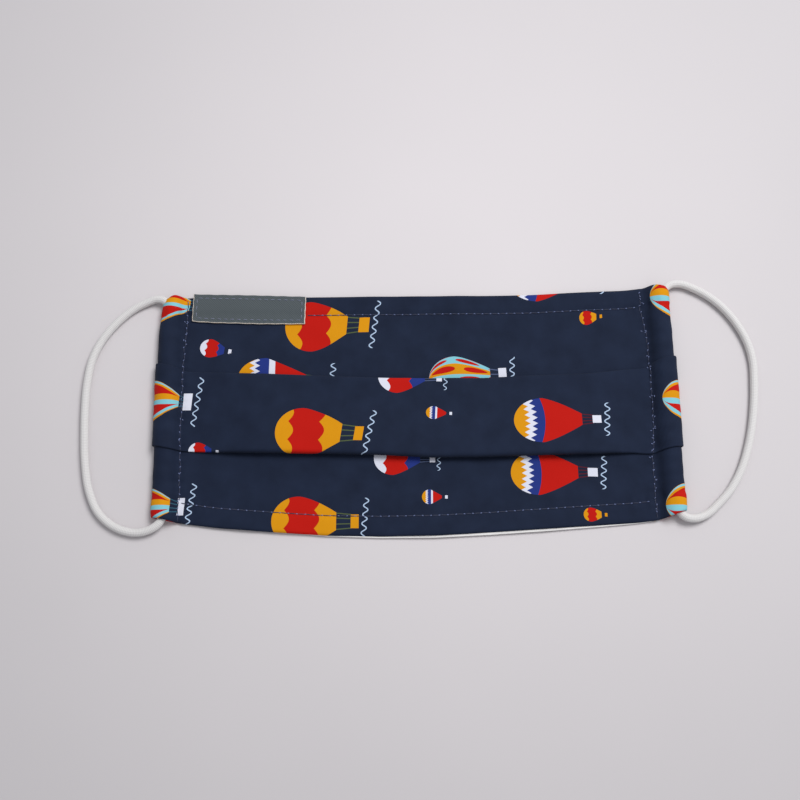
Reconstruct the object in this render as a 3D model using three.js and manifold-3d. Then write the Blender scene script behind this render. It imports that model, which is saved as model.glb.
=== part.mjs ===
// A pleated cloth face mask lying flat with its face up: printed outer cloth, white lining, sewn label and ear cords.
// Millimetres. X runs across the mask, Y up its face, and Z up from the surface that it lies on.
import * as THREE from "three";
import { mergeVertices } from "three/addons/utils/BufferGeometryUtils.js";
import Module from "manifold-3d";

const wasm = await Module();
wasm.setup();

// Driving dimensions. Distances called "from the middle" are measured along X, and are the same on both sides.
const CLOTH = 1; // wall of each layer of cloth
const GAP = 0.3; // air between neighbouring layers
const LAYER = CLOTH + GAP;
const PLEAT_DEPTH = 12; // how far each pleat tucks in behind the band
const LINING_END = 85.3; // from the middle
const HEM_EDGE = 85.8; // inner edge of the hem folded to the back, from the middle
const FLAT_END = 85.6; // where the outer cloth starts to dip to the casing's seam
const SEAM_START = 88;
const SEAM_END = 89;
const CASING_START = 91.5; // where the cloth has risen over the cord
const CASING_EDGE = 98; // side edge of the mask
const PANEL_END = 95.5; // where the pleated sheet ends on top of the casing
const BAND_EDGE = 99.2; // side edge of the band, which wraps round the casing
const EDGE_RADIUS = 2.2; // round of the casing's front edge
const HEM_RADIUS = 0.9; // round of the casing's back edge
const MOUTH = 5; // length of the slit at a casing's upper end, where the cord turns out
const CORD_DIAMETER = 3;
const CORD_SIDES = 8;
const CORD_STEPS = 56;
const TURN_STEPS = 4; // facets round each fold
const CORNER_STEPS = 4; // facets round each edge of the casing
const TUNNEL = CORD_DIAMETER + 2 * GAP; // height inside the casing
const LABEL = { x: -64.6, y: 41.1, width: 43.2, height: 10.8, bow: 0.5, tilt: -1.9 };

// The mask's edges and folds as they run across it: y of each at stations along x. liningDrop is how far the lining
// shows below the outer cloth's bottom edge.
const STATIONS = [
  { x: -100, top: 44.4, upperFold: 20.1, lowerFold: -12.2, bottom: -39.0, liningDrop: -1.0 },
  { x: -98, top: 44.8, upperFold: 19.9, lowerFold: -12.3, bottom: -39.1, liningDrop: -1.0 },
  { x: -93, top: 47.1, upperFold: 18.5, lowerFold: -13.7, bottom: -40.2, liningDrop: -1.0 },
  { x: -87, top: 46.6, upperFold: 16.8, lowerFold: -14.4, bottom: -41.4, liningDrop: -1.0 },
  { x: -75, top: 47.0, upperFold: 16.2, lowerFold: -15.1, bottom: -43.2, liningDrop: -0.8 },
  { x: -55, top: 46.5, upperFold: 15.1, lowerFold: -15.9, bottom: -45.0, liningDrop: -0.4 },
  { x: -35, top: 46.2, upperFold: 14.1, lowerFold: -16.5, bottom: -46.6, liningDrop: 0.3 },
  { x: -15, top: 46.1, upperFold: 13.0, lowerFold: -17.2, bottom: -47.2, liningDrop: 0.8 },
  { x: 5, top: 46.0, upperFold: 12.5, lowerFold: -18.6, bottom: -47.2, liningDrop: 0.9 },
  { x: 25, top: 45.8, upperFold: 12.2, lowerFold: -18.6, bottom: -46.4, liningDrop: 1.0 },
  { x: 45, top: 45.8, upperFold: 13.0, lowerFold: -18.3, bottom: -45.4, liningDrop: 1.0 },
  { x: 65, top: 46.2, upperFold: 13.4, lowerFold: -18.0, bottom: -44.4, liningDrop: 0.9 },
  { x: 80, top: 46.5, upperFold: 15.0, lowerFold: -17.7, bottom: -43.7, liningDrop: 0.7 },
  { x: 87, top: 46.7, upperFold: 15.3, lowerFold: -18.2, bottom: -43.0, liningDrop: 0.5 },
  { x: 93, top: 48.5, upperFold: 18.3, lowerFold: -16.5, bottom: -41.4, liningDrop: 0.5 },
  { x: 98, top: 46.4, upperFold: 19.7, lowerFold: -15.7, bottom: -39.5, liningDrop: 0.5 },
  { x: 100, top: 45.6, upperFold: 20.1, lowerFold: -15.5, bottom: -39.3, liningDrop: 0.5 },
];
const LINES = ["top", "upperFold", "lowerFold", "bottom", "liningDrop"];

// Mid-height of the layer that has `below` other layers under it.
const layerHeight = (below) => CLOTH / 2 + below * LAYER;

// Mid-heights of the outer cloth's three layers in the pleats, by distance from the middle.
const OUTER_HEIGHTS = [
  { from: 0, low: layerHeight(1), mid: layerHeight(2), top: layerHeight(5) },
  { from: FLAT_END, low: layerHeight(1), mid: layerHeight(2), top: layerHeight(5) },
  { from: SEAM_START, low: layerHeight(1), mid: layerHeight(2), top: layerHeight(3) },
  { from: SEAM_END, low: layerHeight(1), mid: layerHeight(2), top: layerHeight(3) },
  {
    from: CASING_START,
    low: CLOTH + TUNNEL + CLOTH / 2,
    mid: CLOTH + TUNNEL + CLOTH / 2 + LAYER,
    top: CLOTH + TUNNEL + CLOTH / 2 + 2 * LAYER,
  },
];
const LINING_HEIGHTS = { low: layerHeight(0), mid: layerHeight(3), top: layerHeight(4) };
const CASING = OUTER_HEIGHTS.at(-1);

// Ear cords: one limp loop each, from a butt joint hidden in the casing, out of its upper end, round and back in.
const LEFT_ROUTE = [
  [-94.3, 25.0, 2.8], [-94.3, 32.0, 2.8], [-94.3, 37.5, 2.8], [-94.5, 41.0, 2.8], [-95.6, 43.7, 2.75],
  [-97.8, 45.5, 2.6], [-100.7, 46.1, 2.2], [-104.3, 45.1, 1.75], [-109.3, 42.6, 1.55], [-115.2, 37.6, 1.55],
  [-121.1, 30.0, 1.55], [-124.6, 21.8, 1.55], [-126.0, 12.2, 1.55], [-126.2, 2.4, 1.55], [-125.9, -6.4, 1.55],
  [-125.1, -17.0, 1.55], [-123.0, -28.4, 1.55], [-118.9, -37.1, 1.55], [-112.5, -42.5, 1.55],
  [-105.4, -44.6, 1.7], [-99.9, -43.8, 2.2], [-96.3, -41.5, 2.7], [-94.6, -37.8, 2.8], [-94.3, -32.0, 2.8],
  [-94.3, -12.0, 2.8], [-94.3, 8.0, 2.8], [-94.3, 24.4, 2.8],
];
const RIGHT_ROUTE = [
  [94.3, 25.0, 2.8], [94.3, 33.0, 2.8], [94.3, 39.5, 2.8], [94.7, 43.4, 2.8], [96.2, 46.6, 2.7],
  [99.0, 48.8, 2.4], [103.0, 49.2, 1.9], [107.8, 47.5, 1.6], [113.9, 43.8, 1.55], [119.3, 38.7, 1.55],
  [124.0, 31.8, 1.55], [127.1, 24.4, 1.55], [128.3, 17.2, 1.55], [128.0, 9.2, 1.55], [127.0, 0.2, 1.55],
  [125.3, -8.8, 1.55], [122.8, -17.5, 1.55], [119.6, -25.2, 1.55], [115.4, -31.9, 1.55], [110.5, -37.1, 1.55],
  [105.8, -41.0, 1.7], [101.3, -42.6, 2.2], [97.4, -42.0, 2.65], [95.0, -39.2, 2.8], [94.3, -34.5, 2.8],
  [94.3, -14.0, 2.8], [94.3, 6.0, 2.8], [94.3, 24.4, 2.8],
];

const stationLines = new THREE.LinearInterpolant(
  STATIONS.map((station) => station.x),
  STATIONS.flatMap((station) => LINES.map((line) => station[line])),
  LINES.length,
);

// The edges and folds at one x.
function linesAt(x) {
  const values = [...stationLines.evaluate(x)];
  return Object.fromEntries(LINES.map((line, i) => [line, values[i]]));
}

// Half turn of a layer from one height to another, bulging along y by way, as points with their directions.
function turn(y, fromZ, toZ, way) {
  const radius = Math.abs(toZ - fromZ) / 2;
  const up = Math.sign(toZ - fromZ);
  return Array.from({ length: TURN_STEPS + 1 }, (_, i) => {
    const angle = (Math.PI * i) / TURN_STEPS;
    return {
      y: y + way * radius * Math.sin(angle),
      z: (fromZ + toZ) / 2 - up * radius * Math.cos(angle),
      alongY: way * Math.cos(angle),
      alongZ: up * Math.sin(angle),
    };
  });
}

// Middle line of a pleated layer from the top edge to the bottom edge. inset moves the band's folds in, and tuck is the
// pleats' depth.
function pleatedPath(lines, heights, inset, tuck) {
  const foldReach = inset + CLOTH / 2 + (heights.top - heights.mid) / 2;
  const tuckReach = tuck - CLOTH / 2 - (heights.mid - heights.low) / 2;
  return [
    { y: lines.top, z: heights.low, alongY: -1, alongZ: 0 },
    ...turn(lines.upperFold - tuckReach, heights.low, heights.mid, -1),
    ...turn(lines.upperFold - foldReach, heights.mid, heights.top, 1),
    ...turn(lines.lowerFold + foldReach, heights.top, heights.mid, -1),
    ...turn(lines.lowerFold + tuckReach, heights.mid, heights.low, 1),
    { y: lines.bottom, z: heights.low, alongY: -1, alongZ: 0 },
  ];
}

// Closed outline of a wall CLOTH thick about a path, in the plane at x.
function wallLoop(x, path) {
  const side = (point, half) =>
    new THREE.Vector3(x, point.y - half * point.alongZ, point.z + half * point.alongY);
  const near = path.map((point) => side(point, CLOTH / 2));
  const far = path.map((point) => side(point, -CLOTH / 2)).reverse();
  return [...near, ...far];
}

// Closed surface through a row of loops with equal numbers of points. flatten gives a loop's points in two dimensions.
function skin(given, flatten) {
  const clockwise = THREE.ShapeUtils.isClockWise(given[0].map(flatten));
  const loops = clockwise ? given.map((loop) => loop.toReversed()) : given;
  const count = loops[0].length;
  const last = (loops.length - 1) * count;
  const index = [];
  for (let i = 0; i < loops.length - 1; i++)
    for (let j = 0; j < count; j++) {
      const a = i * count + j;
      const b = i * count + ((j + 1) % count);
      index.push(a, b, a + count, b, b + count, a + count);
    }
  for (const [p, q, r] of THREE.ShapeUtils.triangulateShape(loops[0].map(flatten), []))
    index.push(r, q, p, last + p, last + q, last + r);
  const geometry = new THREE.BufferGeometry().setFromPoints(loops.flat());
  geometry.setIndex(index);
  return facingOut(geometry);
}

// The geometry with its faces turned to point out.
function facingOut(geometry) {
  const at = (i) => new THREE.Vector3().fromBufferAttribute(geometry.attributes.position, i);
  const order = [...geometry.index.array];
  let volume = 0;
  for (let i = 0; i < order.length; i += 3)
    volume += at(order[i]).dot(at(order[i + 1]).cross(at(order[i + 2])));
  if (volume < 0) geometry.setIndex(order.reverse());
  return geometry;
}

function toSolid(geometry) {
  const bare = geometry.clone();
  bare.deleteAttribute("normal");
  bare.deleteAttribute("uv");
  const merged = mergeVertices(bare, 1e-4);
  const vertProperties = merged.attributes.position.array;
  const triVerts = new Uint32Array(merged.index.array);
  return new wasm.Manifold(new wasm.Mesh({ numProp: 3, vertProperties, triVerts }));
}

function toGeometry(solid) {
  const mesh = solid.getMesh();
  const geometry = new THREE.BufferGeometry();
  geometry.setAttribute("position", new THREE.BufferAttribute(mesh.vertProperties, 3));
  geometry.setIndex(new THREE.BufferAttribute(mesh.triVerts, 1));
  return geometry;
}

// Heights of the outer cloth's layers at one distance from the middle.
function outerHeights(distance) {
  const next = OUTER_HEIGHTS.findIndex((row) => row.from > distance);
  if (next < 0) return CASING;
  const [a, b] = [OUTER_HEIGHTS[next - 1], OUTER_HEIGHTS[next]];
  const share = (distance - a.from) / (b.from - a.from);
  const mix = (key) => THREE.MathUtils.lerp(a[key], b[key], share);
  return { low: mix("low"), mid: mix("mid"), top: mix("top") };
}

// Values of x where the sheet's sections are cut: the stations within reach, and extra ones on both sides.
function sectionPlaces(reach, extra) {
  const inner = STATIONS.map((station) => station.x).filter((x) => Math.abs(x) < Math.min(...extra));
  return [...inner, ...extra, ...extra.map((x) => -x)].filter((x) => Math.abs(x) <= reach).sort((a, b) => a - b);
}

const inSection = (point) => new THREE.Vector2(point.y, point.z);

function outerSheet() {
  const places = sectionPlaces(PANEL_END, [FLAT_END, SEAM_START, SEAM_END, CASING_START, PANEL_END]);
  const loops = places.map((x) =>
    wallLoop(x, pleatedPath(linesAt(x), outerHeights(Math.abs(x)), 0, PLEAT_DEPTH)),
  );
  return toSolid(skin(loops, inSection));
}

// A strip along the side of the mask: an outline in [distance from the middle, z], run between two heights in y.
function sideStrip(side, outline, lowY, highY) {
  const loopAt = (yOf) => outline.map(([distance, z]) => new THREE.Vector3(side * distance, yOf(side * distance), z));
  return toSolid(skin([loopAt(lowY), loopAt(highY)], (point) => new THREE.Vector2(point.x, point.z)));
}

// Quarter round in [distance, z] about a centre, from one angle in degrees to another.
function corner(distance, z, radius, fromAngle, toAngle) {
  return Array.from({ length: CORNER_STEPS + 1 }, (_, i) => {
    const angle = THREE.MathUtils.degToRad(THREE.MathUtils.lerp(fromAngle, toAngle, i / CORNER_STEPS));
    return [distance + radius * Math.cos(angle), z + radius * Math.sin(angle)];
  });
}

// The casing at one side: the cloth folded to the back as a hem and sewn down, with a tunnel for the cord.
function casing(side) {
  const front = CASING.low + CLOTH / 2;
  const seamTop = layerHeight(1) + CLOTH / 2;
  const bottomY = (x) => linesAt(x).bottom;
  const topY = (x) => linesAt(x).top;
  const outside = [
    [HEM_EDGE, 0],
    ...corner(CASING_EDGE - HEM_RADIUS, HEM_RADIUS, HEM_RADIUS, -90, 0),
    ...corner(CASING_EDGE - EDGE_RADIUS, front - EDGE_RADIUS, EDGE_RADIUS, 0, 90),
    [CASING_START, front],
    [SEAM_END, seamTop],
    [SEAM_START, seamTop],
    [SEAM_START, CLOTH],
    [HEM_EDGE, CLOTH],
  ];
  const innerRound = EDGE_RADIUS - CLOTH;
  const inside = [
    [SEAM_END, CLOTH],
    [CASING_EDGE - CLOTH, CLOTH],
    ...corner(CASING_EDGE - EDGE_RADIUS, front - EDGE_RADIUS, innerRound, 0, 90),
    [CASING_START, front - CLOTH],
    [SEAM_END, seamTop - CLOTH],
  ];
  const tunnel = sideStrip(side, inside, (x) => bottomY(x) - CLOTH, (x) => topY(x) + CLOTH);
  return sideStrip(side, outside, bottomY, topY).subtract(tunnel);
}

// The band's side edge, wrapped over the casing from the front down to the surface.
function bandEdge(side) {
  const bandTop = CASING.top + CLOTH / 2;
  const bandRadius = BAND_EDGE - PANEL_END - CLOTH;
  const wallInside = CASING_EDGE - CLOTH / 2;
  const outline = [
    [wallInside, 0],
    ...corner(BAND_EDGE - HEM_RADIUS, HEM_RADIUS, HEM_RADIUS, -90, 0),
    ...corner(BAND_EDGE - bandRadius, bandTop - bandRadius, bandRadius, 0, 90),
    [PANEL_END - CLOTH, bandTop],
    [PANEL_END - CLOTH, bandTop - CLOTH],
    [PANEL_END + CLOTH, bandTop - CLOTH],
    [wallInside, CASING.low],
  ];
  return sideStrip(side, outline, (x) => linesAt(x).lowerFold + CLOTH / 2, (x) => linesAt(x).upperFold - CLOTH / 2);
}

// The slit at a casing's upper end: the side edge and hem stop short there, and the front cloth runs on.
function mouthCut(side) {
  const depth = CASING_EDGE - (PANEL_END - GAP) + CLOTH;
  const height = CLOTH + CASING.low - CLOTH / 2 - GAP / 2;
  const box = new THREE.BoxGeometry(depth, 2 * MOUTH, height);
  const top = linesAt(side * PANEL_END).top;
  box.translate(side * (PANEL_END - GAP + depth / 2), top, height / 2 - CLOTH);
  return toSolid(box);
}

function outerCloth() {
  let cloth = outerSheet();
  for (const side of [-1, 1])
    cloth = cloth.add(casing(side)).add(bandEdge(side)).subtract(mouthCut(side));
  return toGeometry(cloth);
}

// The lining follows the same pleats one layer behind, and stops short of the casings.
function lining() {
  const loops = sectionPlaces(LINING_END, [LINING_END]).map((x) => {
    const lines = linesAt(x);
    const own = { ...lines, top: lines.top - CLOTH, bottom: lines.bottom - lines.liningDrop };
    return wallLoop(x, pleatedPath(own, LINING_HEIGHTS, LAYER, PLEAT_DEPTH + LAYER));
  });
  return skin(loops, inSection);
}

// The label lies on the upper panel, beside the left casing. Its lower edge is bowed.
function label() {
  const { x, y, width, height, bow, tilt } = LABEL;
  const outline = new THREE.Shape();
  outline.moveTo(-width / 2, -height / 2);
  outline.quadraticCurveTo(0, -height / 2 - 2 * bow, width / 2, -height / 2);
  outline.lineTo(width / 2, height / 2);
  outline.lineTo(-width / 2, height / 2);
  const plate = new THREE.ExtrudeGeometry(outline, { depth: CLOTH, bevelEnabled: false, curveSegments: 8 });
  plate.rotateZ(THREE.MathUtils.degToRad(tilt));
  plate.translate(x, y, layerHeight(2) - CLOTH / 2);
  return plate;
}

// A round cord along a route.
function cord(route) {
  const section = new THREE.Shape();
  for (let i = 0; i < CORD_SIDES; i++) {
    const angle = (2 * Math.PI * (i + 0.5)) / CORD_SIDES;
    const point = [Math.cos(angle), Math.sin(angle)].map((v) => (v * CORD_DIAMETER) / 2);
    if (i) section.lineTo(...point);
    else section.moveTo(...point);
  }
  const extrudePath = new THREE.CatmullRomCurve3(route.map((point) => new THREE.Vector3(...point)));
  return new THREE.ExtrudeGeometry(section, { steps: CORD_STEPS, extrudePath, bevelEnabled: false });
}

const MATERIALS = {
  print: { color: 0x222a3e, roughness: 0.85, metalness: 0 },
  white: { color: 0xe6e4e0, roughness: 0.9, metalness: 0 },
  grey: { color: 0x50585e, roughness: 0.9, metalness: 0 },
  elastic: { color: 0xe1dfdd, roughness: 0.8, metalness: 0 },
};

const PIECES = [
  { name: "outer_cloth", geometry: outerCloth(), finish: "print" },
  { name: "lining", geometry: lining(), finish: "white" },
  { name: "label", geometry: label(), finish: "grey" },
  { name: "ear_cord_left", geometry: cord(LEFT_ROUTE), finish: "elastic" },
  { name: "ear_cord_right", geometry: cord(RIGHT_ROUTE), finish: "elastic" },
];

const mask = new THREE.Group();
mask.name = "pleated_face_mask";
for (const { name, geometry, finish } of PIECES) {
  const mesh = new THREE.Mesh(geometry, new THREE.MeshStandardMaterial(MATERIALS[finish]));
  mesh.name = name;
  mask.add(mesh);
}

export default mask;
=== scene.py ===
import bpy
import math
import numpy as np
from mathutils import Matrix, Vector


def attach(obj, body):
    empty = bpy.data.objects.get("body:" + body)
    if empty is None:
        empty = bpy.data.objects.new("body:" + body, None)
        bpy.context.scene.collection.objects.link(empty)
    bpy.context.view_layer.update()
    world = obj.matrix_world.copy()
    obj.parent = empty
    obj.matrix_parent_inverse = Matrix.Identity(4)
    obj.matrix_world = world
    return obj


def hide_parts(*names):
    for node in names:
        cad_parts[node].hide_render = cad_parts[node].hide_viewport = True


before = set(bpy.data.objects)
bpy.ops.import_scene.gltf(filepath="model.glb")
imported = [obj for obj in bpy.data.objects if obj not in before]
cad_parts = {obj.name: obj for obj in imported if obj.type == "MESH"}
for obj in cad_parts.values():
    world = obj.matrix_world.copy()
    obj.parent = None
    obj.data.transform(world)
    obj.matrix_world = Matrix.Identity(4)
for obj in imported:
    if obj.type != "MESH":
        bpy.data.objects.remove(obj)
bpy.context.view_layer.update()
scene = bpy.context.scene
scene.view_settings.view_transform = "Standard"

# Camera: a hand-held view of the mask as it lies on a table, from almost straight above and a little from its
# lower edge.
target = Vector((-0.0068, 0.0040, 0.0030))
distance = 0.420
tilt = math.radians(15.0)
roll = math.radians(0.9)
bpy.ops.object.select_all(action="DESELECT")
bpy.ops.object.camera_add(location=target + distance * Vector((0.0, -math.sin(tilt), math.cos(tilt))))
camera = bpy.context.object
camera.name = "camera"
camera.rotation_euler = (Matrix.Rotation(tilt, 3, "X") @ Matrix.Rotation(-roll, 3, "Z")).to_euler()
camera.data.lens = 50
camera.data.sensor_width = 36
camera.data.clip_start = 0.01
scene.camera = camera

# Ear cords: one loop of white round knitted elastic on each side, 3 mm thick. Each leaves its casing at the upper
# end, goes round to the lower end and back in, and its two ends meet out of sight there. Routes are in mm.
cord_routes = {
    "left": [
        (-94.3, 25.0, 2.8), (-94.3, 32.0, 2.8), (-94.3, 37.5, 2.8), (-94.5, 41.0, 2.8),
        (-95.6, 43.7, 2.75), (-97.8, 45.5, 2.6), (-100.7, 46.1, 2.2), (-104.3, 45.1, 1.75),
        (-109.3, 42.6, 1.55), (-115.2, 37.6, 1.55), (-121.1, 30.0, 1.55), (-124.6, 21.8, 1.55),
        (-126.0, 12.2, 1.55), (-126.2, 2.4, 1.55), (-125.9, -6.4, 1.55), (-125.1, -17.0, 1.55),
        (-123.0, -28.4, 1.55), (-118.9, -37.1, 1.55), (-112.5, -42.5, 1.55), (-105.4, -44.6, 1.7),
        (-99.9, -43.8, 2.2), (-96.3, -41.5, 2.7), (-94.6, -37.8, 2.8), (-94.3, -32.0, 2.8),
        (-94.3, -12.0, 2.8), (-94.3, 8.0, 2.8), (-94.3, 24.4, 2.8),
    ],
    "right": [
        (94.3, 25.0, 2.8), (94.3, 33.0, 2.8), (94.3, 39.5, 2.8), (94.7, 43.4, 2.8),
        (96.2, 46.6, 2.7), (99.0, 48.8, 2.4), (103.0, 49.2, 1.9), (107.8, 47.5, 1.6),
        (113.9, 43.8, 1.55), (119.3, 38.7, 1.55), (124.0, 31.8, 1.55), (127.1, 24.4, 1.55),
        (128.3, 17.2, 1.55), (128.0, 9.2, 1.55), (127.0, 0.2, 1.55), (125.3, -8.8, 1.55),
        (122.8, -17.5, 1.55), (119.6, -25.2, 1.55), (115.4, -31.9, 1.55), (110.5, -37.1, 1.55),
        (105.8, -41.0, 1.7), (101.3, -42.6, 2.2), (97.4, -42.0, 2.65), (95.0, -39.2, 2.8),
        (94.3, -34.5, 2.8), (94.3, -14.0, 2.8), (94.3, 6.0, 2.8), (94.3, 24.4, 2.8),
    ],
}
cord_radius = 1.5
cord_girth = 9.4
cord_sides = 48
cord_rings = 620
ring_step = 0.33
rib_count = 12


def smooth_line(points, count):
    """Centripetal curve through the points, as count points evenly spaced along it."""
    points = np.array(points, float)
    points = np.vstack([2 * points[0] - points[1], points, 2 * points[-1] - points[-2]])
    dense = []
    for p0, p1, p2, p3 in zip(points, points[1:], points[2:], points[3:]):
        spans = [math.sqrt(np.linalg.norm(b - a)) for a, b in ((p0, p1), (p1, p2), (p2, p3))]
        t0, t1, t2, t3 = np.cumsum([0.0] + spans)
        t = np.linspace(t1, t2, 24, endpoint=False)[:, None]
        a1 = (t1 - t) / (t1 - t0) * p0 + (t - t0) / (t1 - t0) * p1
        a2 = (t2 - t) / (t2 - t1) * p1 + (t - t1) / (t2 - t1) * p2
        a3 = (t3 - t) / (t3 - t2) * p2 + (t - t2) / (t3 - t2) * p3
        b1 = (t2 - t) / (t2 - t0) * a1 + (t - t0) / (t2 - t0) * a2
        b2 = (t3 - t) / (t3 - t1) * a2 + (t - t1) / (t3 - t1) * a3
        dense.append((t2 - t) / (t2 - t1) * b1 + (t - t1) / (t2 - t1) * b2)
    dense = np.vstack(dense + [points[-2][None]])
    along = np.concatenate([[0.0], np.cumsum(np.linalg.norm(np.diff(dense, axis=0), axis=1))])
    places = np.linspace(0.0, along[-1], count)
    return np.column_stack([np.interp(places, along, dense[:, i]) for i in range(points.shape[1])])


def new_object(name, vertices, faces):
    """A mesh object at the origin, from vertices in mm, shaded smooth."""
    mesh = bpy.data.meshes.new(name)
    mesh.from_pydata((np.asarray(vertices) / 1000).tolist(), [], faces)
    mesh.polygons.foreach_set("use_smooth", [True] * len(mesh.polygons))
    piece = bpy.data.objects.new(name, mesh)
    scene.collection.objects.link(piece)
    return piece


def new_material(name):
    """A node material, with its tree and its Principled shader."""
    material = bpy.data.materials.new(name)
    material.use_nodes = True
    tree = material.node_tree
    return material, tree, tree.nodes["Principled BSDF"]


def linear(red, green, blue):
    """A display colour, 0 to 255, as a linear shader colour."""
    parts = [c / 255 for c in (red, green, blue)]
    return tuple(c / 12.92 if c <= 0.04045 else ((c + 0.055) / 1.055) ** 2.4 for c in parts) + (1.0,)


def tint_by(tree, value, low, high):
    """A colour that runs from low to high with value; each is a place on the value and its colour."""
    node = tree.nodes.new("ShaderNodeValToRGB")
    for element, (place, colour) in zip(node.color_ramp.elements, (low, high)):
        element.position = place
        element.color = colour
    tree.links.new(value, node.inputs["Fac"])
    return node.outputs["Color"]


def emboss(tree, shader, height, strength, distance):
    """Relief in the surface from a texture."""
    node = tree.nodes.new("ShaderNodeBump")
    node.inputs["Strength"].default_value = strength
    node.inputs["Distance"].default_value = distance
    tree.links.new(height, node.inputs["Height"])
    tree.links.new(node.outputs["Normal"], shader.inputs["Normal"])


elastic, tree, shader = new_material("knitted_elastic")
shader.inputs["Roughness"].default_value = 0.85
shader.inputs["Sheen Weight"].default_value = 0.25
uv = tree.nodes.new("ShaderNodeUVMap")
uv.uv_map = "Knit"
knit = tree.nodes.new("ShaderNodeTexWave")
knit.wave_type = "BANDS"
knit.bands_direction = "Y"
knit.inputs["Scale"].default_value = 0.55
knit.inputs["Distortion"].default_value = 1.6
knit.inputs["Detail"].default_value = 1.0
knit.inputs["Detail Scale"].default_value = 6.0
tree.links.new(uv.outputs["UV"], knit.inputs["Vector"])
tint = tint_by(tree, knit.outputs["Fac"], (0.0, linear(200, 198, 197)), (1.0, linear(219, 217, 216)))
tree.links.new(tint, shader.inputs["Base Color"])
emboss(tree, shader, knit.outputs["Fac"], 0.3, 0.0001)

for side, route in cord_routes.items():
    line = smooth_line(route, cord_rings)
    forward = np.gradient(line, axis=0)
    forward /= np.linalg.norm(forward, axis=1)[:, None]
    across = np.cross(forward, (0.0, 0.0, 1.0))
    across /= np.linalg.norm(across, axis=1)[:, None]
    upward = np.cross(across, forward)
    turn = np.arange(cord_sides) * 2 * math.pi / cord_sides
    along = np.arange(cord_rings) * ring_step
    # The knit's ribs run along the cord, twist slowly, and swell and thin a little.
    ribs = 1 + 0.028 * np.cos(rib_count * turn[None, :] + 0.05 * along[:, None])
    ribs *= 1 + 0.008 * np.sin(along / 5.3)[:, None]
    radius = cord_radius * ribs / 1.02
    tube = (
        line[:, None, :]
        + across[:, None, :] * (radius * np.cos(turn))[:, :, None]
        + upward[:, None, :] * (radius * np.sin(turn))[:, :, None]
    ).reshape(-1, 3)
    faces = []
    for i in range(cord_rings - 1):
        for j in range(cord_sides):
            here, beside = i * cord_sides + j, i * cord_sides + (j + 1) % cord_sides
            faces.append((here, beside, beside + cord_sides, here + cord_sides))
    faces.append(tuple(range(cord_sides))[::-1])
    faces.append(tuple((cord_rings - 1) * cord_sides + j for j in range(cord_sides)))
    cord = new_object("elastic_cord_" + side, tube, faces)
    layer = cord.data.uv_layers.new(name="Knit")
    for polygon in cord.data.polygons:
        seam = polygon.index < (cord_rings - 1) * cord_sides and polygon.index % cord_sides == cord_sides - 1
        for loop in polygon.loop_indices:
            ring, place = divmod(cord.data.loops[loop].vertex_index, cord_sides)
            place += cord_sides if seam and place == 0 else 0
            layer.data[loop].uv = (place / cord_sides * cord_girth, ring * ring_step)
    cord.data.materials.append(elastic)
    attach(cord, "root")
    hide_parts("ear_cord_" + side)
    length = float(np.linalg.norm(np.diff(line, axis=0), axis=1).sum()) / 1000

# Outer cloth: one piece of navy cotton poplin printed with balloons, pleated so that a band stands over a box
# pleat, with both sides folded to the back as casings and sewn down.
# Lines across the mask in mm: x, top edge, upper fold, lower fold, bottom edge.
mask_lines = np.array([
    (-100, 44.4, 20.1, -12.2, -39.0), (-98, 44.8, 19.9, -12.3, -39.1), (-93, 47.1, 18.5, -13.7, -40.2),
    (-87, 46.6, 16.8, -14.4, -41.4), (-75, 47.0, 16.2, -15.1, -43.2), (-55, 46.5, 15.1, -15.9, -45.0),
    (-35, 46.2, 14.1, -16.5, -46.6), (-15, 46.1, 13.0, -17.2, -47.2), (5, 46.0, 12.5, -18.6, -47.2),
    (25, 45.8, 12.2, -18.6, -46.4), (45, 45.8, 13.0, -18.3, -45.4), (65, 46.6, 13.4, -18.0, -44.4),
    (80, 47.0, 15.0, -17.7, -43.7), (87, 47.6, 15.3, -18.2, -43.0), (93, 48.3, 18.3, -16.5, -41.4),
    (98, 47.2, 19.7, -15.7, -39.5), (100, 46.7, 20.1, -15.5, -39.3),
])
cloth_thickness = 0.4
pleat_depth = 12.0
# Section of the lowest layer at one side, from the middle, over the cord and round to the hem at the back.
side_section = [
    (0, 0.85), (20, 0.85), (40, 0.85), (60, 0.85), (80, 0.85), (84, 0.9), (86.8, 1.15), (88.5, 1.15),
    (89.8, 1.95), (91.2, 3.4), (92.8, 4.4), (94.4, 4.66), (96.0, 4.45), (97.3, 3.55), (97.9, 2.5),
    (97.6, 1.65), (96.6, 1.15), (95, 1.0), (92, 0.95), (89.5, 0.8), (88, 0.65), (86.3, 0.5),
]
side_edge = 97.9
stitch_inset = 7.3
stitch_pitch = 3.1
casing_seam = 88.6


def ease(value, start, end):
    """0 before start and 1 after end, with a smooth step between."""
    t = np.clip((value - start) / (end - start), 0.0, 1.0)
    return t * t * (3 - 2 * t)


def ripples(x, y, seed, shortest, longest):
    """Smooth uneven waves, about -1 to 1, with wavelengths in mm."""
    random = np.random.default_rng(seed)
    total = np.zeros(np.broadcast(x, y).shape)
    for _ in range(14):
        angle = random.uniform(0, math.pi)
        wavelength = random.uniform(shortest, longest)
        phase = random.uniform(0, 2 * math.pi)
        total += np.sin((x * math.cos(angle) + y * math.sin(angle)) * 2 * math.pi / wavelength + phase)
    return total / 3.2


def lines_at(x):
    """Top edge, upper fold, lower fold and bottom edge of the mask at x."""
    spread = np.array([-1.5, -0.75, 0.0, 0.75, 1.5])
    return [np.interp(x + spread, mask_lines[:, 0], mask_lines[:, i]).mean() for i in range(1, 5)]


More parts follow.
